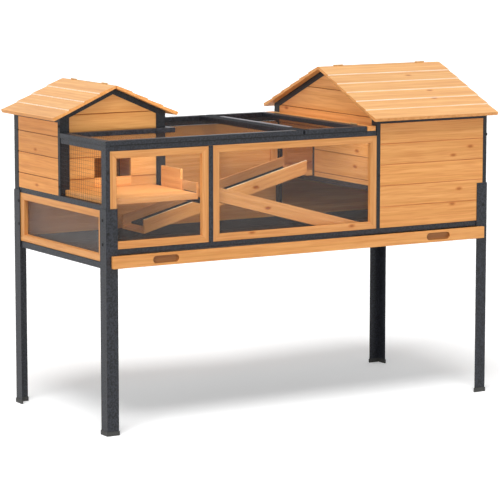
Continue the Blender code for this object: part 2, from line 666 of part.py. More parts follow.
def make_left_house():
    behind_frame = STEEL + FIT
    first = STOREY_Z + LEFT_FIRST_BOARD
    seams = seams_from(first, BOARD_PITCH, LEFT_POST_TOP + LEFT_HOUSE_WIDTH / 2)
    side_y = (LEFT_HOUSE_FRONT + POST_NARROW + FIT, REAR_SKIN - POST_WIDE - FIT)
    side = rectangle(side_y, (FLOOR_Z, LEFT_POST_TOP - EAVE_STRIP - FIT))
    board_wall("left_house_outer_wall", wall_y(LEFT_HOUSE_X[0]), side, seams)
    board_wall("left_house_inner_wall", wall_y(LEFT_HOUSE_X[1], -1), side, seams)
    outline = gable_outline(LEFT_HOUSE_X, FLOOR_TOP + FIT, LEFT_POST_TOP)
    front = board_wall("left_house_front_wall", wall_x(LEFT_HOUSE_FRONT), outline, seams, behind_frame)
    sill = FLOOR_TOP + DOORWAY_SILL
    doorway = rectangle((DOORWAY_LEFT, DOORWAY_LEFT + DOORWAY_WIDTH), (sill, sill + DOORWAY_HEIGHT))
    through = (behind_frame - OVERRUN, behind_frame + WALL_BOARD + OVERRUN)
    cut = slab(wall_x(LEFT_HOUSE_FRONT), doorway, *through)
    boolean(front, helper("left_doorway", cut), "DIFFERENCE")
    outline = gable_outline(LEFT_HOUSE_X, FLOOR_Z, LEFT_POST_TOP)
    board_wall("left_house_back_wall", wall_x(REAR_SKIN, -1), outline, seams, behind_frame)

    notch_y = (LEFT_HOUSE_FRONT - FIT, LEFT_HOUSE_FRONT + POST_NARROW + FIT)
    notch_x = LEFT_HOUSE_X[0] + LEFT_HOUSE_POST + FIT
    floor_y = (PANE_BACK + FIT, BACK_WALL_FACE - FIT)
    outline = [
        (PLATFORM_LEFT, floor_y[0]),
        (PLATFORM_RIGHT, floor_y[0]),
        (PLATFORM_RIGHT, floor_y[1]),
        (PLATFORM_LEFT, floor_y[1]),
        (PLATFORM_LEFT, notch_y[1]),
        (notch_x, notch_y[1]),
        (notch_x, notch_y[0]),
        (PLATFORM_LEFT, notch_y[0]),
    ]
    piece("upper_floor", slab(level(0), outline, FLOOR_Z, FLOOR_TOP), PINE)
    fence_x = (PLATFORM_RIGHT + FIT, PLATFORM_RIGHT + FIT + FENCE_BOARD)
    fence_start = FRONT_RAMP_Y + FRONT_RAMP_WIDTH + FIT
    fence = block(fence_x, (fence_start, fence_start + FENCE_LENGTH), (FLOOR_Z, FLOOR_Z + FENCE_HEIGHT))
    piece("balcony_fence", fence, PINE)


def make_right_house():
    behind_frame = STEEL + FIT
    bottom = FRONT_RAIL_TOP + FIT
    front_x = (RIGHT_HOUSE_X + POST_NARROW + FIT, RIGHT_END - POST_NARROW - FIT)
    seams = seams_from(bottom + BOARD_PITCH, BOARD_PITCH, RIGHT_POST_TOP + DEPTH / 2)
    wall_top = RIGHT_POST_TOP - EAVE_STRIP - FIT
    board_wall("right_house_front_wall", wall_x(SKIN), rectangle(front_x, (bottom, wall_top)), seams)
    back_x = (HOUSE_INSIDE_X[0] + WALL_BOARD + FIT, HOUSE_INSIDE_X[1] - WALL_BOARD - FIT)
    back = rectangle(back_x, (BASE_TOP + FIT, wall_top))
    board_wall("right_house_back_wall", wall_x(REAR_SKIN, -1), back, seams, behind_frame)
    span = (SKIN, REAR_SKIN)
    outline = gable_outline(span, BASE_TOP + FIT, RIGHT_POST_TOP)
    board_wall("right_house_outer_wall", wall_y(RIGHT_END, -1), outline, seams, behind_frame)

    lower = seams_from(STOREY_Z + INNER_FIRST_BOARD, INNER_PITCH, TOP_RAIL_Z)
    upper = seams_from(STOREY_Z + GABLE_FIRST_BOARD, INNER_PITCH, RIGHT_POST_TOP + DEPTH / 2)
    outline = gable_outline(span, FLOOR_Z, RIGHT_POST_TOP)
    place = wall_y(RIGHT_HOUSE_X)
    inner = board_wall("right_house_inner_wall", place, outline, lower + upper, behind_frame)
    door_y = (INNER_WALL_END, REAR_SKIN - POST_WIDE - FIT)
    door = rectangle(door_y, (FLOOR_Z - OVERRUN, FLOOR_Z + INNER_DOOR_HEIGHT))
    cut = slab(place, door, behind_frame - OVERRUN, behind_frame + WALL_BOARD + OVERRUN)
    boolean(inner, helper("inner_doorway", cut), "DIFFERENCE")

    floor_y = (SKIN + WALL_BOARD + FIT, BACK_WALL_FACE - FIT)
    landing_y = (INNER_WALL_END + 2 * FIT + DOORWAY_POST, door_y[1] - FIT)
    landing_x = RIGHT_HOUSE_X - LANDING
    outline = [
        (back_x[0], floor_y[0]),
        (back_x[1], floor_y[0]),
        (back_x[1], floor_y[1]),
        (back_x[0], floor_y[1]),
        (back_x[0], landing_y[1]),
        (landing_x, landing_y[1]),
        (landing_x, landing_y[0]),
        (back_x[0], landing_y[0]),
    ]
    piece("right_house_floor", slab(level(0), outline, FLOOR_Z, FLOOR_TOP), PINE)


def make_back_wall():
    bottom, storey, top = BASE_TOP + FIT, STOREY_Z, TOP_RAIL_Z - FIT
    step_x, end_x = LEFT_HOUSE_X[1] + FIT, RIGHT_HOUSE_X - FIT
    outline = [
        (INSIDE, bottom),
        (end_x, bottom),
        (end_x, top),
        (step_x, top),
        (step_x, storey),
        (INSIDE, storey),
    ]
    seams = seams_from(bottom + BOARD_PITCH, BOARD_PITCH, top)
    board_wall("run_back_wall", wall_x(REAR_SKIN, -1), outline, seams, STEEL + FIT)


def make_roofs(left_pivot, right_pivot):
    y, x = LEFT_ROOF_Y, RIGHT_ROOF_X
    left = (LEFT_HOUSE_X, LEFT_POST_TOP, LEFT_EAVE_OVERHANG, LEFT_ROOF_BOARDS, y)
    right = ((SKIN, REAR_SKIN), RIGHT_POST_TOP, RIGHT_EAVE_OVERHANG, RIGHT_ROOF_BOARDS, x)
    roof_slope("left_roof_opening_slope", wall_x(0), *left, -1, left_pivot)
    roof_slope("left_roof_fixed_slope", wall_x(0), *left, 1)
    roof_slope("right_roof_opening_slope", wall_y(0), *right, -1, right_pivot)
    roof_slope("right_roof_fixed_slope", wall_y(0), *right, 1)


def make_window(name, place, u, z):
    frame = border(place, u, z, WINDOW_BAR, 0, WINDOW_THICKNESS)
    piece(f"{name}_window_frame", frame, PINE)
    inset = WINDOW_BAR - PANE_LAP
    pane = rectangle((u[0] + inset, u[1] - inset), (z[0] + inset, z[1] - inset))
    near = WINDOW_THICKNESS + FIT
    piece(f"{name}_window_pane", slab(place, pane, near, near + PANE_THICKNESS), ACRYLIC)


def make_windows():
    front_z = (FRONT_WINDOW_Z, FRONT_WINDOW_Z + FRONT_WINDOW_HEIGHT)
    left_x = (SKIN + POST_NARROW + FIT, MULLION_X - FIT)
    right_x = (MULLION_X + MULLION_WIDTH + FIT, RIGHT_HOUSE_X - FIT)
    make_window("front_left", wall_x(SKIN), left_x, front_z)
    make_window("front_right", wall_x(SKIN), right_x, front_z)
    end_y = (WINDOW_BACK + FIT, BACK_WALL_FACE - FIT)
    make_window("end", wall_y(INSIDE), end_y, (END_WINDOW_Z, END_WINDOW_Z + END_WINDOW_HEIGHT))


def make_ramp(name, x, top, y):
    """A trough of a floor board and two side boards, sheared along its slope and cut level at its foot."""
    stations = []
    for end, edge in zip(x, top):
        low, floor = edge - RAMP_HEIGHT, edge - RAMP_HEIGHT + RAMP_FLOOR
        inner = (y[0] + RAMP_SIDE, y[1] - RAMP_SIDE)
        trough = ((inner[1], edge), (inner[1], floor), (inner[0], floor), (inner[0], edge))
        section = ((y[0], low), (y[1], low), (y[1], edge), *trough, (y[0], edge))
        stations.append([Vector((end, across, z)) for across, z in section])
    shape = loft(stations)
    parts = list(shape.verts) + list(shape.edges) + list(shape.faces)
    foot = {"plane_co": (0, 0, RAMP_FOOT_Z), "plane_no": (0, 0, 1)}
    bmesh.ops.bisect_plane(shape, geom=parts, clear_inner=True, **foot)
    bmesh.ops.holes_fill(shape, edges=[edge for edge in shape.edges if edge.is_boundary])
    piece(name, shape, PINE)


def make_ramps():
    x = (PLATFORM_RIGHT + FIT, PLATFORM_RIGHT + FIT + FRONT_RAMP_RUN)
    high = FLOOR_Z + FRONT_RAMP_TOP
    y = (FRONT_RAMP_Y, FRONT_RAMP_Y + FRONT_RAMP_WIDTH)
    make_ramp("front_ramp", x, (high, high - FRONT_RAMP_SLOPE * FRONT_RAMP_RUN), y)
    end = RIGHT_HOUSE_X - LANDING - FIT
    high = FLOOR_Z + REAR_RAMP_TOP
    y = (REAR_RAMP_Y, REAR_RAMP_Y + REAR_RAMP_WIDTH)
    make_ramp("rear_ramp", (end - REAR_RAMP_RUN, end), (high - REAR_RAMP_SLOPE * REAR_RAMP_RUN, high), y)


def stadium(centre, length, height):
    radius = height / 2
    half = length / 2 - radius
    outline = []
    for side, start in ((1, -math.pi / 2), (-1, math.pi / 2)):
        for k in range(SLOT_SIDES + 1):
            turn = start + math.pi * k / SLOT_SIDES
            along = centre[0] + side * half + radius * math.cos(turn)
            outline.append((along, centre[1] + radius * math.sin(turn)))
    return outline


def make_tray(tray_pivot):
    x = (TRAY_FRONT_INSET, LENGTH - TRAY_FRONT_INSET)
    z = (TRAY_FRONT_Z, TRAY_FRONT_Z + TRAY_FRONT_HEIGHT)
    board = piece("tray_front", block(x, (-FIT - TRAY_BOARD, -FIT), z), PINE, tray_pivot)
    for name, along in (("left", SLOT_INSET), ("right", LENGTH - SLOT_INSET)):
        slot = stadium((along, sum(z) / 2), SLOT_LENGTH, SLOT_HEIGHT)
        cut = helper(f"{name}_hand_slot", slab(wall_x(0), slot, -TRAY_BOARD - OVERRUN, -FIT - SLOT_FLOOR))
        boolean(board, cut, "DIFFERENCE")
    side = LEG_FLANGE + PAN_SIDE_GAP
    x, y, z = (side, LENGTH - side), (0, PAN_REAR), (PAN_Z, PAN_Z + PAN_HEIGHT)
    pan = piece("tray_pan", block(x, y, z), PAN_PLASTIC, tray_pivot)
    inside = [(low + PAN_WALL, high - PAN_WALL) for low, high in (x, y)]
    cut = helper("tray_pan_inside", block(*inside, (PAN_Z + PAN_WALL, z[1] + OVERRUN)))
    boolean(pan, cut, "DIFFERENCE")


def build():
    clear_scene()
    left_axis = (sum(LEFT_HOUSE_X) / 2, ridge_axis(LEFT_HOUSE_X, LEFT_POST_TOP))
    right_axis = (DEPTH / 2, ridge_axis((SKIN, REAR_SKIN), RIGHT_POST_TOP))
    lid_axis = (LID_AXIS_X, MESH_TOP + BARREL_RADIUS + FIT)
    left_pivot = pivot("left_roof_axis", (left_axis[0], sum(LEFT_ROOF_Y) / 2, left_axis[1]))
    right_pivot = pivot("right_roof_axis", (sum(RIGHT_ROOF_X) / 2, *right_axis))
    lid_pivot = pivot("mesh_lid_axis", (lid_axis[0], DEPTH / 2, lid_axis[1]))
    tray_pivot = pivot("tray_slide_axis", (LENGTH / 2, 0, TRAY_FRONT_Z))
    make_legs()
    make_posts_and_gables()
    make_rails()
    make_mesh_panels(lid_pivot)
    make_left_house()
    make_right_house()
    make_back_wall()
    make_roofs(left_pivot, right_pivot)
    make_windows()
    make_ramps()
    make_tray(tray_pivot)
    hinge("left_roof_hinge", wall_x(0), left_axis, LEFT_ROOF_Y, -1, left_pivot)
    hinge("right_roof_hinge", wall_y(0), right_axis, RIGHT_ROOF_X, -1, right_pivot)
    hinge("lid_hinge", wall_x(0), lid_axis, (SKIN, REAR_SKIN), -1, lid_pivot)


build()
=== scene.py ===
# %% [markdown]
# # A raised tortoise house
# The solids of this house come from a CAD part: a dark angle-steel frame on four legs, pine boards, clear
# windows, wire mesh, two gabled houses, two ramps and a pull-out tray. This lesson gives it the look of the
# real thing. The real house is bought as a flat pack and put together with bolts, so most of its pieces are
# straight bars and boards, and nearly all of its character is in the wood, the paint and the small edges.

# %% Load the frame
import json
import math

import bmesh
import bpy
from mathutils import Matrix, Vector


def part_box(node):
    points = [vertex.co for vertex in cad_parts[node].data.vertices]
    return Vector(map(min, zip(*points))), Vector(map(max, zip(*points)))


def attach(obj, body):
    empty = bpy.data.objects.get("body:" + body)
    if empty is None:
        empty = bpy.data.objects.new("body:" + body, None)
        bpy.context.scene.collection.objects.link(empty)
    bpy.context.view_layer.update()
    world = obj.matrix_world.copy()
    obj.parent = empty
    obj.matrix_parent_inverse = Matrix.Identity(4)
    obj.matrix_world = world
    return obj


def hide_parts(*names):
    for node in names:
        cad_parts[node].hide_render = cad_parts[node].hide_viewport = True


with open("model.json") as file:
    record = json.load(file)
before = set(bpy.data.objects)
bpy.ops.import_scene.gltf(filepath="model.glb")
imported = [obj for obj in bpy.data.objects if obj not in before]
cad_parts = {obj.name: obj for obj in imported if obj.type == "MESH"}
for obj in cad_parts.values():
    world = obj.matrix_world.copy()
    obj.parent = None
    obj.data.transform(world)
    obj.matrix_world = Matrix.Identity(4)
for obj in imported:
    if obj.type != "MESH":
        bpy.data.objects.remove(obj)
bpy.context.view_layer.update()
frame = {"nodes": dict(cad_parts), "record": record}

NODES = frame["nodes"]
BODY_OF = {node: body for body, nodes in frame["record"]["behaviour"]["bodies"].items() for node in nodes}
SLOT_OF = {row["node"]: row["material_slot"] for row in frame["record"]["subparts"]}

# %% [markdown]
# A workshop measures from the corner of the frame, not from the middle of the house. The outer corner of the
# front left leg is that corner here, and one helper turns workshop millimetres into a place in the scene.

# %% Measure from the frame's corner
CORNER = Vector((*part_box("front_left_leg")[0][:2], 0))


def at(x, y, z):
    """A place in millimetres from the frame's front left corner on the floor."""
    return CORNER + Vector((x, y, z)) / 1000


LENGTH = (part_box("front_right_leg")[1][0] - CORNER.x) * 1000
print("frame corner:", CORNER, "frame length in mm:", round(LENGTH, 1))

# %% [markdown]
# ## Materials
# Colours are picked as sRGB hex values, as in a paint program, and the renderer works in linear light, so
# one function converts them. A second function adds any shader node with its settings and its links: that
# keeps each material short enough to read like a recipe.

# %% Two helpers for every material
def linear(colour):
    """An sRGB hex colour as linear RGBA."""
    parts = [int(colour[k : k + 2], 16) / 255 for k in (1, 3, 5)]
    return (*(v / 12.92 if v <= 0.04045 else ((v + 0.055) / 1.055) ** 2.4 for v in parts), 1.0)


def add(tree, kind, inputs=None, stops=(), **settings):
    """Adds a shader node. inputs maps its sockets to values or to other nodes' outputs."""
    node = tree.nodes.new("ShaderNode" + kind)
    for name, value in settings.items():
        setattr(node, name, value)
    for key, value in (inputs or {}).items():
        if isinstance(value, bpy.types.NodeSocket):
            tree.links.new(value, node.inputs[key])
        else:
            node.inputs[key].default_value = value
    for position, _ in stops[1:-1]:
        node.color_ramp.elements.new(position)
    for element, (position, colour) in zip(node.color_ramp.elements if stops else (), stops):
        element.position, element.color = position, linear(colour)
    return node


def new_material(name, roughness, metallic=0.0):
    """A material with its tree, its shader and the place on the piece in metres."""
    material = bpy.data.materials.new(name)
    material.use_nodes = True
    tree = material.node_tree
    shader = tree.nodes["Principled BSDF"]
    shader.inputs["Roughness"].default_value = roughness
    shader.inputs["Metallic"].default_value = metallic
    return material, tree, shader, add(tree, "TexCoord").outputs["Object"]


print("linear mid grey:", [round(v, 3) for v in linear("#808080")])

# %% [markdown]
# ### Pine
# The boards are planed pine with an orange stain under a clear coat. The eye reads three things: long soft
# streaks of early and late wood that run with the grain, boards that differ a little from their neighbours,
# and a few small oval knots. The grain could be painted, but a noise that is stretched along the board does
# it at any size. Streaks are about 12 mm wide and half a metre long. The fine pores are really under half a
# millimetre, too fine to show, so they are drawn 4 mm wide. Each board of a wall is counted from its seams,
# and its number moves the pattern and shifts the tone. The stain took a little differently on each batch of
# boards, so there are several stains, three tones each from dark to light. The grooves between the boards get
# darker tones as painted shade, and the roofs, which face the sun, get paler tones as painted light.

# %% Stained pine
STREAK_LONG, STREAK_WIDE = 0.550, 0.012
PORE_LONG, PORE_WIDE = 0.090, 0.004
KNOT_LONG, KNOT_WIDE = 0.011, 0.005
KNOT_RING = [(0.0, "#B4865A"), (0.2, "#C4986A"), (0.34, "#EED6B8"), (0.52, "#FFFFFF")]
BOARD_SHIFT = 5.0
STAIN = ("#DB974F", "#E5A05A", "#EDAC66")
BRIGHT_STAIN = ("#E39C52", "#EDA65D", "#F5B26A")
WARM_STAIN = ("#DA9046", "#E4994E", "#ECA55A")
YELLOW_STAIN = ("#C98E4C", "#D39856", "#DBA260")
BAR_STAIN = ("#D08E4C", "#DA9857", "#E2A262")
# Roof tones: paler, painted light on the roofs that face the sun.
SUNLIT_ROOF_TONES = ("#E5A564", "#EEB26F", "#F5BF7E")
# Darker tones painted as shade in the hand slots.
SLOT_SHADE_TONES = ("#9A622F", "#A56B36", "#B0763F")
# Groove tones: darker, painted shade in the grooves between boards.
GROOVE_SHADE_TONES = ("#A0602B", "#AC6C34", "#B8783E")
LIGHT_GROOVE_SHADE_TONES = ("#C88145", "#D28B4E", "#DC9557")
# Pale tones painted as highlight on the roofs' lap edges.
LAP_HIGHLIGHT_TONES = ("#FBDDB8", "#FFE9CC", "#FFF2DE")
# Pale tones painted as highlight on the rear ramp's near top edge.
RAMP_EDGE_HIGHLIGHT_TONES = ("#FFDBA8", "#FFE3B6", "#FFEAC4")
SHADED = ("#BC7E46", "#C6894F", "#D09458")


def pine(name, grain, boards=None, lot=0.0, knots=(), turn=0.0, tones=STAIN, knot_depth=0.8):
    """Pine whose grain runs along axis 0, 1 or 2. boards is (axis, first seam, pitch), lot sets the pattern
    apart from other pieces', knots are places on it, and turn leans the grain about Y. The knots are as dark as
    knot_depth says."""
    material, tree, shader, place = new_material(name, 0.5)

    def along_grain(long, wide):
        return [1 / long if axis == grain else 1 / wide for axis in range(3)]

    number = lot
    if boards:
        axis, first, pitch = boards
        height = add(tree, "SeparateXYZ", {0: place}).outputs[axis]
        count = add(tree, "Math", {0: height, 1: first}, operation="SUBTRACT").outputs[0]
        count = add(tree, "Math", {0: count, 1: pitch}, operation="DIVIDE").outputs[0]
        count = add(tree, "Math", {0: count}, operation="FLOOR").outputs[0]
        number = add(tree, "Math", {0: count, 1: lot}, operation="ADD").outputs[0]
    board = add(tree, "TexWhiteNoise", {"W": number}, noise_dimensions="1D")
    moved = add(tree, "VectorMath", {0: board.outputs["Color"], "Scale": BOARD_SHIFT}, operation="SCALE").outputs[0]
    turned = add(tree, "Mapping", {"Vector": place, "Rotation": (0, turn, 0)}).outputs[0]
    own = add(tree, "VectorMath", {0: turned, 1: moved}, operation="ADD").outputs[0]

    streak_place = add(tree, "Mapping", {"Vector": own, "Scale": along_grain(STREAK_LONG, STREAK_WIDE)})
    streak = add(tree, "TexNoise", {"Vector": streak_place.outputs[0], "Scale": 1.0, "Detail": 2.5})
    pore_place = add(tree, "Mapping", {"Vector": own, "Scale": along_grain(PORE_LONG, PORE_WIDE)})
    pore = add(tree, "TexNoise", {"Vector": pore_place.outputs[0], "Scale": 1.0, "Detail": 1.0})
    wood = add(tree, "ValToRGB", {0: streak.outputs[0]}, stops=list(zip((0.3, 0.5, 0.68), tones)))
    lines = add(tree, "ValToRGB", {0: pore.outputs[0]}, stops=[(0.36, "#E6CBB0"), (0.56, "#FFFFFF")])
    colour = add(tree, "Mix", {0: 0.4, 6: wood.outputs[0], 7: lines.outputs[0]}, data_type="RGBA",
                 blend_type="MULTIPLY")
    tone = add(tree, "MapRange", {"Value": board.outputs["Value"], "To Min": 0.95, "To Max": 1.05})
    colour = add(tree, "HueSaturation", {"Value": tone.outputs[0], "Color": colour.outputs[2]}).outputs[0]
    nearest = None
    for knot in knots:
        away = add(tree, "VectorMath", {0: place, 1: knot}, operation="SUBTRACT").outputs[0]
        away = add(tree, "VectorMath", {0: away, 1: along_grain(KNOT_LONG, KNOT_WIDE)}, operation="MULTIPLY")
        away = add(tree, "VectorMath", {0: away.outputs[0]}, operation="LENGTH").outputs["Value"]
        if nearest:
            away = add(tree, "Math", {0: nearest, 1: away}, operation="MINIMUM").outputs[0]
        nearest = away
    if nearest:
        ring = add(tree, "Math", {0: nearest, 1: 0.33}, operation="MULTIPLY").outputs[0]
        knot = add(tree, "ValToRGB", {0: ring}, stops=KNOT_RING)
        colour = add(tree, "Mix", {0: knot_depth, 6: colour, 7: knot.outputs[0]}, data_type="RGBA",
                     blend_type="MULTIPLY").outputs[2]
    tree.links.new(colour, shader.inputs["Base Color"])
    gloss = add(tree, "MapRange", {"Value": pore.outputs[0], "To Min": 0.42, "To Max": 0.58})
    tree.links.new(gloss.outputs[0], shader.inputs["Roughness"])
    bump = add(tree, "Bump", {"Height": pore.outputs[0], "Strength": 0.3, "Distance": 0.0004})
    tree.links.new(bump.outputs[0], shader.inputs["Normal"])
    return material


# Groove materials: darker tones painted as shade.
GROOVE_SHADE = pine("pine_groove_shade", 0, lot=13.3, tones=GROOVE_SHADE_TONES)
LIGHT_GROOVE_SHADE = pine("pine_light_groove_shade", 0, lot=13.6, tones=LIGHT_GROOVE_SHADE_TONES)
print("streaks", STREAK_WIDE * 1000, "mm, pores drawn", PORE_WIDE * 1000, "mm")

# %% [markdown]
# ### Steel, plastic, acrylic and wire
# The frame is folded steel with a dark hammered powder coat: nearly black, a little blue, and mottled by
# shallow dimples of 5 mm that catch the light. The paint is not a metal to the eye, so metallic stays 0. The
# gable frames get a darker copy of the coat, painted shade from the roofs above them, and the tops beside the
# lid's gap are matt and darker, also painted shade. The foot caps are moulded polyethylene. The windows are 2 mm
# acrylic: mostly see-through with a faint grey veil, made with alpha so that it stays simple in every program,
# and the end pane is hazier than the other two. The mesh is welded wire in black paint, the hinges are brass
# plated, and the tray's pan is grey polypropylene.

# %% Powder coat and the other finishes
DIMPLE = 0.005


def dimpled(name, dark, light, roughness, size, depth, metallic=0.0):
    """A surface that is mottled between two tones by dimples of a size in metres."""
    material, tree, shader, place = new_material(name, roughness, metallic)
    spots = add(tree, "TexNoise", {"Vector": place, "Scale": 1 / size, "Detail": 2.0})
    tone = add(tree, "ValToRGB", {0: spots.outputs[0]}, stops=[(0.38, dark), (0.62, light)])
    tree.links.new(tone.outputs[0], shader.inputs["Base Color"])
    bump = add(tree, "Bump", {"Height": spots.outputs[0], "Strength": 0.5, "Distance": depth})
    tree.links.new(bump.outputs[0], shader.inputs["Normal"])
    return material


POWDER_COAT = dimpled("hammered_powder_coat", "#0B0D11", "#2D3039", 0.42, DIMPLE, 0.0006)
# A darker coat painted as shade on the gable frames under the roofs.
SHADED_GABLE_COAT = dimpled("hammered_powder_coat_gable_shade", "#07080A", "#1F2228", 0.5, DIMPLE, 0.0006)
CAP_PLASTIC = dimpled("polyethylene", "#383837", "#41413F", 0.6, 0.004, 0.0001)
PAN_PLASTIC = dimpled("polypropylene", "#434547", "#4C4E50", 0.5, 0.006, 0.0001)
COATED_WIRE = dimpled("painted_wire", "#101114", "#1B1C20", 0.5, 0.002, 0.0001)
BRASS = dimpled("brass_plate", "#D8AE76", "#E6C08A", 0.4, 0.003, 0.0001, 0.9)
# A pale strip painted as highlight along the lid's left bar.
LID_HIGHLIGHT_STRIP = dimpled("painted_highlight_strip", "#8A888D", "#99979C", 0.6, 0.004, 0.0001)
BLACK_BOLT = dimpled("black_oxide_bolt", "#060708", "#0E0F11", 0.7, 0.002, 0.0001)
# Matt, and darker as painted shade, on the tops beside the lid's gap.
MATT_SHADED_TOP = dimpled("hammered_powder_coat_shaded_tops", "#0B0D11", "#1F2228", 0.8, DIMPLE, 0.0006)
MATT_SHADED_TOP.node_tree.nodes["Principled BSDF"].inputs["Specular IOR Level"].default_value = 0.15
# Black strips painted as shade: the ramp mats and the seal under the mesh.
SHADE_RUBBER = dimpled("black_shade_rubber", "#0E0E0F", "#161617", 0.8, 0.003, 0.0001)


def acrylic(name, alpha):
    """Clear sheet whose grey veil is as strong as alpha says."""
    material, tree, shader, place = new_material(name, 0.03)
    smear = add(tree, "TexNoise", {"Vector": place, "Scale": 9.0, "Detail": 3.0})
    veil = add(tree, "ValToRGB", {0: smear.outputs[0]}, stops=[(0.3, "#B9B4B2"), (0.7, "#D0CBC9")])
    tree.links.new(veil.outputs[0], shader.inputs["Base Color"])
    shader.inputs["Alpha"].default_value = alpha
    shader.inputs["IOR"].default_value = 1.49
    return material


ACRYLIC = acrylic("clear_acrylic", 0.045)
HAZY_ACRYLIC = acrylic("hazy_acrylic", 0.10)
print("finishes:", len(bpy.data.materials))

# %% [markdown]
# ## Edges
# Every board and bar of the CAD part has knife-sharp edges. Real boards are sanded and real sheet steel is
# folded over a radius, and that small round edge is what catches the light in a photograph. A Bevel modifier
# would do, but CAD meshes are loose triangles, so a copy is merged, its flat faces are joined again and its
# sharp edges are bevelled. Wood gets about 1 mm, folded sheet 0.4 mm and the square tubes of the two mesh
# frames 1.6 mm. The lid's frame is also sawn 5 mm short on its left, so that a dark gap parts it from the
# fixed frame, as on the real house, and the cross bar below that gap is sawn to the 5 mm that show.

# %% Round the edges of a CAD piece
WOOD_ROUND, STEEL_ROUND, TUBE_ROUND, CAP_ROUND = 0.001, 0.0004, 0.0016, 0.0006
BOARD_EDGE_ROUND, ROOF_ROUND, THIN_ROUND = 0.0007, 0.0006, 0.0005
GAP, CROSS_BAR_SEEN, TUBE_WIDE = 0.005, 0.005, 0.0243
TUBES = ("roof_mesh_frame", "mesh_lid_frame")
GABLES = ("left_house_front_frame", "left_house_rear_frame", "right_house_inner_frame", "right_house_outer_frame")


def bevelled(shape, width, steps=2):
    """Rounds the sharp edges of a bmesh by a width in metres."""
    sharp = [edge for edge in shape.edges if edge.is_manifold and edge.calc_face_angle() > math.radians(25)]
    bmesh.ops.bevel(shape, geom=sharp, offset=width, offset_type="OFFSET", segments=steps, profile=0.5,
                    affect="EDGES", clamp_overlap=True, material=-1)
    return shape


def copied(node):
    """A CAD node's solid with its triangles merged into flat faces."""
    shape = bmesh.new()
    shape.from_mesh(NODES[node].data)
    bmesh.ops.remove_doubles(shape, verts=shape.verts, dist=0.00002)
    bmesh.ops.dissolve_limit(shape, angle_limit=math.radians(1), verts=shape.verts, edges=shape.edges)
    return shape


def put(name, shape, materials, body="house", stands_for=()):
    """Makes a finished bmesh a piece of the house."""
    mesh = bpy.data.meshes.new(name)
    shape.to_mesh(mesh)
    shape.free()
    for material in materials:
        mesh.materials.append(material)
    piece = bpy.data.objects.new(name, mesh)
    bpy.context.scene.collection.objects.link(piece)
    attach(piece, body)
    if stands_for:
        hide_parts(*stands_for)


def saw(shape, point, away):
    """Saws off what lies beyond a point on the away side, and closes the cut."""
    geometry = shape.verts[:] + shape.edges[:] + shape.faces[:]
    cut = bmesh.ops.bisect_plane(shape, geom=geometry, plane_co=point, plane_no=away, clear_outer=True)
    ring = [item for item in cut["geom_cut"] if isinstance(item, bmesh.types.BMEdge)]
    bmesh.ops.contextual_create(shape, geom=ring)


def bar(low, high):
    """A squared bar between two corners."""
    shape = bmesh.new()
    bmesh.ops.create_cube(shape, size=1.0)
    bmesh.ops.scale(shape, vec=high - low, verts=shape.verts)
    bmesh.ops.translate(shape, vec=(low + high) / 2, verts=shape.verts)
    return shape


def joined(shapes):
    """Several shapes as one, with each one's material number kept."""
    whole = bmesh.new()
    for shape in shapes:
        mesh = bpy.data.meshes.new("part")
        shape.to_mesh(mesh)
        shape.free()
        whole.from_mesh(mesh)
    return whole


def dress(node, ending, material, width):
    """Puts a copy with rounded edges in a CAD node's place. The tubes beside the lid's gap get darker matt tops:
    painted shade.
    """
    shape = copied(node)
    low, high = (Vector(corner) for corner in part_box(node))
    if node == "mesh_lid_frame":
        saw(shape, low + Vector((GAP, 0, 0)), Vector((-1, 0, 0)))
    if node == "top_cross_bar":
        saw(shape, high - Vector((0, 0, CROSS_BAR_SEEN)), Vector((0, 0, -1)))
    seam = {"mesh_lid_frame": (low.x + TUBE_WIDE, -1), "roof_mesh_frame": (high.x - TUBE_WIDE, 1)}.get(node)
    if seam:
        geometry = shape.verts[:] + shape.edges[:] + shape.faces[:]
        bmesh.ops.bisect_plane(shape, geom=geometry, plane_co=(seam[0], 0, 0), plane_no=(1, 0, 0))
    bevelled(shape, width)
    for face in shape.faces:
        # Darker matt tops: painted shade.
        matt = seam and face.normal.z > 0.9 and (face.calc_center_median().x - seam[0]) * seam[1] >= 0
        face.material_index = 1 if matt else 0
    materials = [material, MATT_SHADED_TOP] if seam else [material]
    put(f"{node}_{ending}", shape, materials, BODY_OF[node], [node])


def in_groove(face):
    """Whether a face slopes as the sides of a groove between two boards do."""
    return 0.5 < abs(face.normal.z) < 0.9


def boarded(node, material):
    """Puts a copy of a board wall in its place, with darker tones painted as shade in the grooves between the
    boards.
    """
    shape = copied(node)
    for face in shape.faces:
        face.material_index = int(in_groove(face))
    grooved = sum(face.material_index for face in shape.faces)
    groove = LIGHT_GROOVE_SHADE if node == "right_house_front_wall" else GROOVE_SHADE
    put(f"{node}_boards", bevelled(shape, BOARD_EDGE_ROUND), [material, groove], BODY_OF[node], [node])
    return grooved


steel = [node for node, slot in SLOT_OF.items() if slot == "steel"]
caps = [node for node, slot in SLOT_OF.items() if slot == "plastic"]
for node in steel:
    # Gable frames take the darker coat as painted shade.
    coat = SHADED_GABLE_COAT if node in GABLES else POWDER_COAT
    dress(node, "coated", coat, TUBE_ROUND if node in TUBES else STEEL_ROUND)
for node in caps:
    dress(node, "moulded", CAP_PLASTIC, CAP_ROUND)
print("steel pieces:", len(steel), "foot caps:", len(caps))

# %% [markdown]
# ## Boards
# Each wall is a stack of boards with the grain along it, so each takes its own pine: which way the grain
# runs, where the seams are, and where its few knots sit. The right house's inner wall has two stacks, because
# its boards are spliced above the mesh. Floors, the fence and the lid's batten are single boards.

# %% Walls
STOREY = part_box("mid_rail_left")[1][2]
PITCH, INNER_PITCH = 0.067, 0.073
LEFT_SEAM, INNER_SEAM, UPPER_SEAM, SPLICE = 0.048, 0.016, 0.219, 0.185
LEFT_SEAMS = (2, STOREY + LEFT_SEAM, PITCH)
RIGHT_SEAMS = (2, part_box("right_house_front_wall")[0][2], PITCH)
BACK_SEAMS = (2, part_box("run_back_wall")[0][2], PITCH)

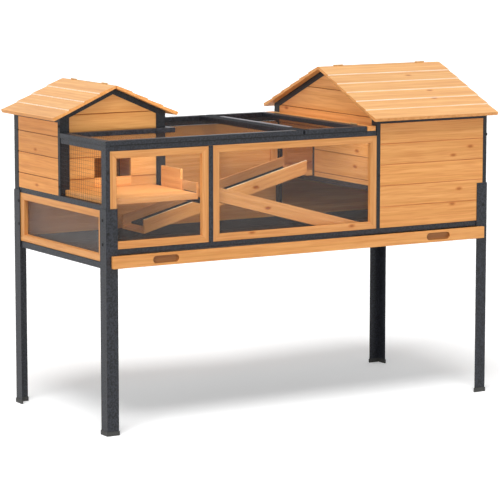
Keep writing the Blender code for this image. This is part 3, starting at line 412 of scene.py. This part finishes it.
walls = {
    "left_house_outer_wall": pine("pine_left_wall", 1, LEFT_SEAMS, 3.0, [at(5, 474, 830), at(5, 466, 719)],
                                  tones=WARM_STAIN),
    "left_house_inner_wall": pine("pine_left_inner_wall", 1, LEFT_SEAMS, 11.0),
    "left_house_front_wall": pine("pine_left_front_wall", 0, LEFT_SEAMS, 19.0, tones=YELLOW_STAIN),
    "left_house_back_wall": pine("pine_left_back_wall", 0, LEFT_SEAMS, 27.0),
    "right_house_front_wall": pine("pine_right_front_wall", 0, RIGHT_SEAMS, 35.0, [
        at(1266, 4, 787), at(1290, 4, 677), at(1264, 4, 629), at(1333, 4, 812)]),
    "right_house_outer_wall": pine("pine_right_outer_wall", 1, RIGHT_SEAMS, 43.0),
    "right_house_back_wall": pine("pine_right_back_wall", 0, RIGHT_SEAMS, 51.0),
    "run_back_wall": pine("pine_run_back_wall", 0, BACK_SEAMS, 59.0),
}
grooved = [boarded(node, material) for node, material in walls.items()]
print("walls of boards:", len(walls), "groove faces:", grooved)

# %% Inner wall of the right house
lower = pine("pine_inner_wall_low", 1, (2, STOREY + INNER_SEAM, INNER_PITCH), 67.0,
             [at(972, 119, 805), at(972, 130, 754)], knot_depth=0.9)
upper = pine("pine_inner_wall_high", 1, (2, STOREY + UPPER_SEAM, INNER_PITCH), 75.0, [at(972, 549, 912)],
             tones=BRIGHT_STAIN)
shape = bevelled(copied("right_house_inner_wall"), BOARD_EDGE_ROUND)
for face in shape.faces:
    # Groove faces get the painted shade.
    face.material_index = 2 if in_groove(face) else int(face.calc_center_median().z > STOREY + SPLICE)
put("right_house_inner_wall_boards", shape, [lower, upper, GROOVE_SHADE],
    stands_for=["right_house_inner_wall"])
print("inner wall spliced at", round(STOREY + SPLICE, 3))

# %% Single boards
single = {
    "upper_floor": pine("pine_upper_floor", 0, lot=4.3),
    "right_house_floor": pine("pine_right_floor", 0, lot=5.3),
    "balcony_fence": pine("pine_fence", 1, lot=6.3, tones=YELLOW_STAIN),
    "lid_batten": pine("pine_batten", 1, lot=7.3),
}
for node, material in single.items():
    dress(node, "board", material, WOOD_ROUND)
print("single boards:", len(single))

# %% [markdown]
# Each ramp is a trough of three boards. It leans, and so does its grain. The top edge of the rear ramp's near
# board is pale, a painted highlight, and the inner faces of the far boards get darker tones, a painted shade.

# %% Ramps
FRONT_LEAN, REAR_LEAN = -math.atan(0.2745), math.atan(0.2578)
EDGE_AREA = 0.012
# Pale wood painted as highlight on the roofs' lap edges.
LAP_EDGE_HIGHLIGHT = pine("pine_lap_edge_highlight", 0, lot=12.3, tones=LAP_HIGHLIGHT_TONES)
# Pale wood painted as highlight on the rear ramp's near top edge.
RAMP_EDGE_HIGHLIGHT = pine("pine_ramp_edge_highlight", 0, lot=12.8, tones=RAMP_EDGE_HIGHLIGHT_TONES)
SHADED_SIDE = pine("pine_shaded_side", 0, lot=12.4, turn=REAR_LEAN, tones=SHADED)
ramps = {
    "front_ramp": pine("pine_front_ramp", 0, lot=8.3, turn=FRONT_LEAN, knots=[at(581, 24, 656)], knot_depth=1.0),
    "rear_ramp": pine("pine_rear_ramp", 0, lot=9.3, turn=REAR_LEAN, knots=[at(750, 378, 676)], knot_depth=1.0),
}
for node, material in ramps.items():
    shape = copied(node)
    middle_y = sum(corner[1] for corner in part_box(node)) / 2
    for face in shape.faces:
        far = face.calc_center_median().y > middle_y
        # The rear ramp's near top edge gets a painted highlight, the far boards' inner faces painted shade.
        highlighted = node == "rear_ramp" and not far and face.normal.z > 0.9 and face.calc_area() < EDGE_AREA
        face.material_index = 2 if far and face.normal.y < -0.9 else int(highlighted)
    print(node, "face materials:", [face.material_index for face in shape.faces])
    materials = [material, RAMP_EDGE_HIGHLIGHT, SHADED_SIDE]
    put(f"{node}_boards", bevelled(shape, WOOD_ROUND), materials, BODY_OF[node], [node])

# %% [markdown]
# Each ramp gets a black mat on its tread, a dark sheet that paints the shade in the trough. The mat lies on
# the tread, and its long edges turn up a little against the side boards, so it shows as a dark line above the near
# board.

# %% Ramp mats
MAT, TURNED_UP = 0.0015, 0.0065
MAT_CLEAR, MAT_START, MAT_SHORT = 0.0003, 0.006, 0.036
RAMP_BOARD, TREAD_DEPTH = 0.008, 0.037


def ramp_shade_mat(node, lean, rises):
    """A black mat of painted shade with turned-up edges on a ramp's tread. lean is the slope's angle, rises is 1 or
    -1 along x.
    """
    low, high = (Vector(corner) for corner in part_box(node))
    top = Vector((high.x if rises > 0 else low.x, low.y + RAMP_BOARD, high.z - TREAD_DEPTH))
    long = (high.x - low.x - MAT_SHORT) / math.cos(lean)
    wide = high.y - low.y - 2 * RAMP_BOARD
    start, end = (-MAT_START - long, -MAT_START) if rises > 0 else (MAT_START, MAT_START + long)
    shape = joined([
        bar(Vector((start, MAT_CLEAR, MAT_CLEAR)), Vector((end, wide - MAT_CLEAR, MAT))),
        bar(Vector((start, MAT_CLEAR, MAT_CLEAR)), Vector((end, MAT, TURNED_UP))),
        bar(Vector((start, wide - MAT, MAT_CLEAR)), Vector((end, wide - MAT_CLEAR, TURNED_UP))),
    ])
    turn = Matrix.Translation(top) @ Matrix.Rotation(-lean * rises, 4, "Y")
    bmesh.ops.transform(shape, matrix=turn, verts=shape.verts)
    put(f"{node}_shade_mat", shape, [SHADE_RUBBER], BODY_OF[node])


ramp_shade_mat("front_ramp", -FRONT_LEAN, -1)
ramp_shade_mat("rear_ramp", REAR_LEAN, 1)
print("mats lean at:", [round(math.degrees(lean), 1) for lean in (-FRONT_LEAN, REAR_LEAN)])

# %% [markdown]
# The tray's front board has two hand slots. What lies inside the board, away from its faces, ends and long
# edges, is the walls of a slot, and they get darker tones as painted shade.

# %% Tray front with its hand slots
SLOT_DEEP, SLOT_AWAY, SLOT_HIGH = 0.0015, 0.010, 0.003
front_low, front_high = (Vector(corner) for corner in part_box("tray_front"))
shape = bevelled(copied("tray_front"), WOOD_ROUND)
for face in shape.faces:
    middle = face.calc_center_median()
    margin = [min(middle[axis] - front_low[axis], front_high[axis] - middle[axis]) for axis in range(3)]
    # Slot walls get darker tones as painted shade.
    face.material_index = int(margin[1] > SLOT_DEEP and margin[0] > SLOT_AWAY and margin[2] >= SLOT_HIGH)
slot_faces = sum(face.material_index for face in shape.faces)
materials = [pine("pine_tray_front", 0, lot=10.3), pine("pine_slot_shade", 0, lot=11.3, tones=SLOT_SHADE_TONES)]
put("tray_front_board", shape, materials, BODY_OF["tray_front"], ["tray_front"])
print("hand slot faces:", slot_faces)

# %% [markdown]
# ## Roofs
# The slopes are lapped boards, each 3 mm proud of the next one down. Their lower edges show as thin pale lines,
# brighter than the wood around them: a painted highlight for the light that catches each lap. The faces that look
# down the slope are found by their normals, the convex edge above each one is planed off by 2 mm, and both get
# the pale highlight; the rest is the stained pine.

# %% Lapped roof boards
PITCH_ANGLE = math.radians(23.4)
EASED, STEP_AREA = 0.0021, 0.0025
LEFT_LAP, RIGHT_LAP = 0.05354, 0.05573


def roof(node, down, material):
    """A roof slope whose boards' lower edges carry a pale painted highlight. down is the level way from the ridge
    to the eave.
    """
    fall = Vector(down) * math.cos(PITCH_ANGLE) - Vector((0, 0, math.sin(PITCH_ANGLE)))
    shape = copied(node)
    steps = [face for face in shape.faces if face.normal.dot(fall) > 0.95 and face.calc_area() < STEP_AREA]
    for face in shape.faces:
        face.material_index = 1 if face in steps else 0 if abs(face.normal.z) > 0.9 else 2
    tops = [edge for face in steps for edge in face.edges
            if edge.is_convex and all(other in steps or other.normal.z > 0.9 for other in edge.link_faces)]
    bmesh.ops.bevel(shape, geom=tops, offset=EASED, offset_type="OFFSET", segments=1, profile=0.5, affect="EDGES",
                    clamp_overlap=True, material=1)
    bevelled(shape, ROOF_ROUND)
    put(f"{node}_boards", shape, [material, LAP_EDGE_HIGHLIGHT, ROOF_END], BODY_OF[node], [node])
    print(node, "lapped edges:", len(steps))


ROOF_END = pine("pine_roof_end", 1, lot=15.3)
ridge_x = sum(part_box("left_roof_hinge_fixed_half")[end][0] for end in (0, 1)) / 2
left_boards, right_boards = (0, ridge_x, LEFT_LAP), (1, 0.0, RIGHT_LAP)
right_knots = [at(1244, 231, 1029), at(1261, 132, 986), at(1246, 84, 966)]
roof("left_roof_opening_slope", (-1, 0, 0), pine("pine_left_roof_open", 1, left_boards, 83.0, tones=SUNLIT_ROOF_TONES))
roof("left_roof_fixed_slope", (1, 0, 0), pine("pine_left_roof_fixed", 1, left_boards, 91.0, tones=SUNLIT_ROOF_TONES))
roof("right_roof_opening_slope", (0, -1, 0),
     pine("pine_right_roof_open", 0, right_boards, 99.0, right_knots, tones=SUNLIT_ROOF_TONES))
roof("right_roof_fixed_slope", (0, 1, 0), pine("pine_right_roof_fixed", 0, right_boards, 107.0, tones=SUNLIT_ROOF_TONES))

# %% [markdown]
# ## Windows
# A window frame is four bars with mitred corners around a groove that holds the pane. The CAD frame is one
# solid, so its grain could only run one way. Here each bar starts as a cube, is stretched to size, is sawn
# along the mitre at both ends with bisect_plane, and gets its own grain. The end window's uprights are wider
# than the other bars, because they reach out from behind the legs.

# %% Mitred window frames
WINDOW_BAR = 0.022
END_STILES = (0.0384, 0.0476)


def mitred(name, across, lot, knots=(), stiles=(WINDOW_BAR, WINDOW_BAR)):
    """Four mitred bars in a window's place. across is the level axis that the window runs along, and stiles
    are the widths of its two uprights."""
    widths = {across: stiles, 2: (WINDOW_BAR, WINDOW_BAR)}
    low, high = (Vector(corner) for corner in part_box(f"{name}_window_frame"))
    middle = (low + high) / 2
    bars = []
    for axis, other in ((across, 2), (2, across)):
        for side in (-1, 1):
            near, far = low.copy(), high.copy()
            own = widths[other][side > 0]
            if side < 0:
                far[other] = low[other] + own
            else:
                near[other] = high[other] - own
            shape = bar(near, far)
            for end in (-1, 1):
                corner = middle.copy()
                corner[axis] = (high if end > 0 else low)[axis]
                corner[other] = (high if side > 0 else low)[other]
                away = Vector((0, 0, 0))
                away[axis], away[other] = end * own, -side * widths[axis][end > 0]
                saw(shape, corner, away.normalized())
            bevelled(shape, WOOD_ROUND)
            for face in shape.faces:
                face.material_index = 0 if axis == across else 1
            bars.append(shape)
    level = pine(f"pine_{name}_rails", across, lot=lot, knots=knots, tones=BAR_STAIN, knot_depth=0.9)
    upright = pine(f"pine_{name}_stiles", 2, lot=lot + 1, tones=BAR_STAIN)
    put(f"{name}_window_bars", joined(bars), [level, upright], stands_for=[f"{name}_window_frame"])


mitred("front_left", 0, 14.3, [at(560, 0, 854)])
mitred("front_right", 0, 16.3, [at(510, 0, 587), at(877, 0, 583)])
mitred("end", 1, 18.3, stiles=END_STILES)
for node, slot in SLOT_OF.items():
    if slot == "acrylic":
        NODES[node].data.materials.clear()
        NODES[node].data.materials.append(HAZY_ACRYLIC if node == "end_window_pane" else ACRYLIC)
print("panes:", sum(slot == "acrylic" for slot in SLOT_OF.values()))

# %% [markdown]
# ## Wire mesh
# The mesh is welded from straight wires: one layer runs one way, a second lies on it and crosses it. The
# squares are half an inch, 12.7 mm, and the wire is thin, about 0.6 mm. A wire is a cone operator with two
# equal radii and six sides, because hundreds of them must stay light. The CAD sheets give each net its place.

# %% Welded nets
WIRE, SQUARE = 0.0006, 0.0127


def wire(shape, start, end):
    """A straight round wire between two points."""
    run = end - start
    turn = Vector((0, 0, 1)).rotation_difference(run).to_matrix().to_4x4()
    bmesh.ops.create_cone(shape, cap_ends=True, segments=6, radius1=WIRE / 2, radius2=WIRE / 2,
                          depth=run.length, matrix=Matrix.Translation((start + end) / 2) @ turn)


def net(name, nodes, body="house"):
    """Two layers of crossing wires over each CAD sheet."""
    shape = bmesh.new()
    for node in nodes:
        low, high = (Vector(corner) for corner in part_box(node))
        thin = min(range(3), key=lambda axis: high[axis] - low[axis])
        flat = [axis for axis in range(3) if axis != thin]
        for layer, (run, step) in enumerate((flat, flat[::-1])):
            squares = round((high[step] - low[step]) / SQUARE)
            for k in range(squares + 1):
                start, end = low.copy(), low.copy()
                for point in (start, end):
                    point[thin] += WIRE * (layer + 0.5)
                    point[step] += WIRE / 2 + k * (high[step] - low[step] - WIRE) / squares
                end[run] = high[run]
                wire(shape, start, end)
    faces = len(shape.faces)
    put(name, shape, [COATED_WIRE], body, nodes)
    print(name, "faces:", faces)


net("roof_net", ["roof_mesh_front", "roof_mesh_rear"])
net("end_net", ["end_mesh"])
net("lid_net", ["mesh_lid_net"], "mesh_lid")

# %% [markdown]
# ## Bolts and screws
# The frame is bolted together. The heads that show are low domes about 10 mm across, of black oxide steel.
# A dome is a short arc that is spun about its axis; a ready-made half sphere would be too tall.

# %% Cup heads
BOLT_RADIUS, BOLT_HEIGHT = 0.005, 0.0022
SCREW_RADIUS, SCREW_HEIGHT = 0.0036, 0.0014


def cup_head(shape, place, axis, radius=BOLT_RADIUS, height=BOLT_HEIGHT):
    """Adds a domed head that stands on a face at a place and looks along an axis."""
    dome = bmesh.new()
    ring = [(1.0, 0.0), (1.0, 0.35), (0.86, 0.72), (0.5, 0.95), (0.0, 1.0)]
    verts = [dome.verts.new((radius * r, 0, height * h)) for r, h in ring]
    edges = [dome.edges.new(pair) for pair in zip(verts, verts[1:])]
    bmesh.ops.spin(dome, geom=verts + edges, cent=(0, 0, 0), axis=(0, 0, 1), angle=2 * math.pi, steps=16,
                   use_merge=True)
    bmesh.ops.remove_doubles(dome, verts=dome.verts, dist=0.00001)
    bmesh.ops.holes_fill(dome, edges=[edge for edge in dome.edges if edge.is_boundary])
    bmesh.ops.recalc_face_normals(dome, faces=dome.faces)
    turn = Vector((0, 0, 1)).rotation_difference(Vector(axis)).to_matrix().to_4x4()
    bmesh.ops.transform(dome, matrix=Matrix.Translation(place) @ turn, verts=dome.verts)
    mesh = bpy.data.meshes.new("head")
    dome.to_mesh(mesh)
    dome.free()
    shape.from_mesh(mesh)


LEFT, FRONT = (-1, 0, 0), (0, -1, 0)
bolts = bmesh.new()
heads = [
    (at(0, 22.6, 656), LEFT), (at(0, 22.6, 583), LEFT), (at(0, 592.7, 656), LEFT), (at(0, 592.7, 583), LEFT),
    (at(2.3, 311, 915), LEFT), (at(2.3, 311, 728), LEFT),
    (at(7.5, 0, 617), FRONT), (at(10, 2.3, 801), FRONT),
    (at(979, 2.3, 736), FRONT), (at(LENGTH - 14.5, 0, 619), FRONT), (at(LENGTH - 4.6, 2.3, 848), FRONT),
]
for place, axis in heads:
    cup_head(bolts, place, axis)
screws = [at(2.3, 597, z) for z in (882, 815, 748)]
for place in screws:
    cup_head(bolts, place, LEFT, SCREW_RADIUS, SCREW_HEIGHT)
put("frame_bolts", bolts, [BLACK_BOLT])
print("bolt heads:", len(heads), "screw heads:", len(screws))

# %% [markdown]
# ## Small boards
# A thin sill stands under the left doorway, and two narrow stiles stand on the back wall beside the right
# house's post, where the boards of the run end. They are plain bars with rounded edges, so the same bar
# helper makes them.

# %% Sill and stiles
sill_pine = pine("pine_sill", 0, lot=21.3)
stile_pine = pine("pine_stile", 2, lot=22.3)
small = [
    ("doorway_sill", at(122, 304.3, 719), at(251, 305.8, 749.4), sill_pine),
    ("back_wall_stile", at(945, 601, 700.5), at(969, 611.5, 860), stile_pine),
    ("back_wall_second_stile", at(989, 601, 718.6), at(1011, 611.5, 860), stile_pine),
]
for name, low, high, material in small:
    put(name, bevelled(bar(low, high), THIN_ROUND), [material])
print("small boards:", len(small))

# %% [markdown]
# The right house's rear post is folded once more than the CAD shows: a narrow lip faces the front, above the
# floor over the wall's edge and below it beside the back wall. Under the mesh frames lies a thin black strip,
# a painted shade for the dark gap beneath them.

# %% Post lip and seal
LIP_ROUND = 0.0003
lip = joined([
    bar(at(971.2, 591.3, 718.8), at(983.0, 592.6, 862)),
    bar(at(971.2, 600.9, 546), at(986.5, 602.2, 700)),
])
put("rear_post_lip", bevelled(lip, LIP_ROUND), [POWDER_COAT])

SEAL_START, SEAL_HALF, SEAL_BELOW, SEAL_ABOVE = 0.012, 0.0006, 0.0009, 0.0011
rail_low, rail_high = (Vector(corner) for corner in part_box("top_rail_front"))
seal_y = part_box("roof_mesh_frame")[0][1]
# A black strip painted as shade under the mesh frames.
seal = bar(Vector((rail_low.x + SEAL_START, seal_y - SEAL_HALF, rail_high.z - SEAL_BELOW)),
           Vector((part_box("mesh_lid_frame")[1][0], seal_y + SEAL_HALF, rail_high.z + SEAL_ABOVE)))
put("mesh_shade_seal", seal, [SHADE_RUBBER])
print("seal under the mesh at", round(rail_high.z, 4))

# %% [markdown]
# ## Lid highlight strip
# A narrow bright strip runs along the lid's left bar: a painted highlight where light catches the bar's
# rounded edge. It lies on the bar and moves with the lid.

# %% Bright strip on the lid
STRIP_LOW, STRIP_HIGH, STRIP_ROUND = (0.0070, 0.10, -0.0002), (0.0215, 0.53, 0.0018), 0.0001
lid_low, lid_high = (Vector(corner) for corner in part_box("mesh_lid_frame"))
corner = Vector((lid_low.x, lid_low.y, lid_high.z))
strip = bar(corner + Vector(STRIP_LOW), corner + Vector(STRIP_HIGH))
put("lid_highlight_strip", bevelled(strip, STRIP_ROUND), [LID_HIGHLIGHT_STRIP], "mesh_lid")
print("lid strip from", [round(v, 3) for v in corner])

# %% [markdown]
# ## Hinges and pan
# These CAD pieces already have their shape, so they only take a finish: a CAD node's own mesh is never
# changed, but its material slots are free.

# %% Finish the plain nodes
plain = {"hinge_steel": BRASS, "pan_plastic": PAN_PLASTIC}
for node, slot in SLOT_OF.items():
    if slot in plain:
        NODES[node].data.materials.clear()
        NODES[node].data.materials.append(plain[slot])
print("plain nodes:", sum(slot in plain for slot in SLOT_OF.values()))

# %% [markdown]
# ## Studio
# The product stands on a wide white floor under soft light: an even sky for fill, one broad key from high on
# the left in front, and a low one from the left for the gables. A house is dark inside, so a photographer
# hides a soft panel in each room: three small area lamps that no camera ray meets. The camera, and anything
# glossy or clear, sees the sky as plain white, while the wood is lit by a dimmer one, so that colours render
# about as they are written. The floor glows a little for the camera alone, and keeps its shadow.

# %% Light, floor and camera
world = bpy.data.worlds.new("studio")
bpy.context.scene.world = world
world.use_nodes = True
tree = world.node_tree
tree.nodes.clear()
rays = add(tree, "LightPath")
seen = add(tree, "Math", {0: rays.outputs["Is Camera Ray"], 1: rays.outputs["Is Glossy Ray"]}, operation="MAXIMUM")
seen = add(tree, "Math", {0: seen.outputs[0], 1: rays.outputs["Is Transmission Ray"]}, operation="MAXIMUM")
fill = add(tree, "Background", {"Color": linear("#FFFFFF"), "Strength": 0.35})
white = add(tree, "Background", {"Color": linear("#FFFFFF"), "Strength": 1.0})
sky = add(tree, "MixShader", {0: seen.outputs[0], 1: fill.outputs[0], 2: white.outputs[0]})
add(tree, "OutputWorld", {"Surface": sky.outputs[0]})

SPREAD, PANEL_TILT = 25, 75
for name, towards, strength in (("key", (-0.29, -0.39, 0.87), 2.1), ("side", (-0.85, -0.50, 0.20), 0.72)):
    lamp_data = bpy.data.lights.new(name, "SUN")
    lamp_data.energy = strength
    lamp_data.angle = math.radians(SPREAD)
    lamp = bpy.data.objects.new(name, lamp_data)
    lamp.rotation_euler = Vector(towards).to_track_quat("Z", "Y").to_euler()
    bpy.context.scene.collection.objects.link(lamp)

panels = [
    ("run_panel", (-0.20, -0.283, 0.855), 0.86, 0.03, 1.28),
    ("left_house_panel", (-0.44, 0.10, 0.87), 0.08, 0.12, 0.06),
    ("right_house_panel", (0.42, -0.20, 0.86), 0.12, 0.08, 0.22),
]
for name, where, wide, tall, energy in panels:
    panel_data = bpy.data.lights.new(name, "AREA")
    panel_data.shape = "RECTANGLE"
    panel_data.size, panel_data.size_y = wide, tall
    panel_data.energy = energy
    panel = bpy.data.objects.new(name, panel_data)
    panel.location = where
    panel.rotation_euler = (math.radians(PANEL_TILT), 0, 0)
    panel.visible_camera = False
    panel.visible_glossy = False
    bpy.context.scene.collection.objects.link(panel)

FLOOR_RADIUS, GLOW = 60.0, 0.3
PAPER, tree, shader, place = new_material("white_floor", 0.9)
grey = add(tree, "TexNoise", {"Vector": place, "Scale": 0.4, "Detail": 1.0})
tone = add(tree, "ValToRGB", {0: grey.outputs[0]}, stops=[(0.4, "#F8F8F8"), (0.6, "#FAFAFA")])
tree.links.new(tone.outputs[0], shader.inputs["Base Color"])
shader.inputs["Specular IOR Level"].default_value = 0.0
rays = add(tree, "LightPath")
shader.inputs["Emission Color"].default_value = linear("#FFFFFF")
glow = add(tree, "Math", {0: rays.outputs["Is Camera Ray"], 1: GLOW}, operation="MULTIPLY")
tree.links.new(glow.outputs[0], shader.inputs["Emission Strength"])

disc = bmesh.new()
bmesh.ops.create_circle(disc, cap_ends=True, segments=64, radius=FLOOR_RADIUS)
floor_mesh = bpy.data.meshes.new("floor")
disc.to_mesh(floor_mesh)
disc.free()
floor_mesh.materials.append(PAPER)
floor = bpy.data.objects.new("floor", floor_mesh)
bpy.context.scene.collection.objects.link(floor)

LOOKS_DOWN, LOOKS_RIGHT = 8.0138, 30.9076
camera_data = bpy.data.cameras.new("camera")
camera_data.lens = 190.96
camera_data.sensor_width = 36.0
camera_data.clip_end = 200.0
camera = bpy.data.objects.new("camera", camera_data)
camera.location = (-4.359966, -7.2722, 1.6753)
camera.rotation_euler = (math.radians(90 - LOOKS_DOWN), 0, -math.radians(LOOKS_RIGHT))
bpy.context.scene.collection.objects.link(camera)
bpy.context.scene.camera = camera
bpy.context.scene.view_settings.view_transform = "Standard"
print("camera at", tuple(camera.location))
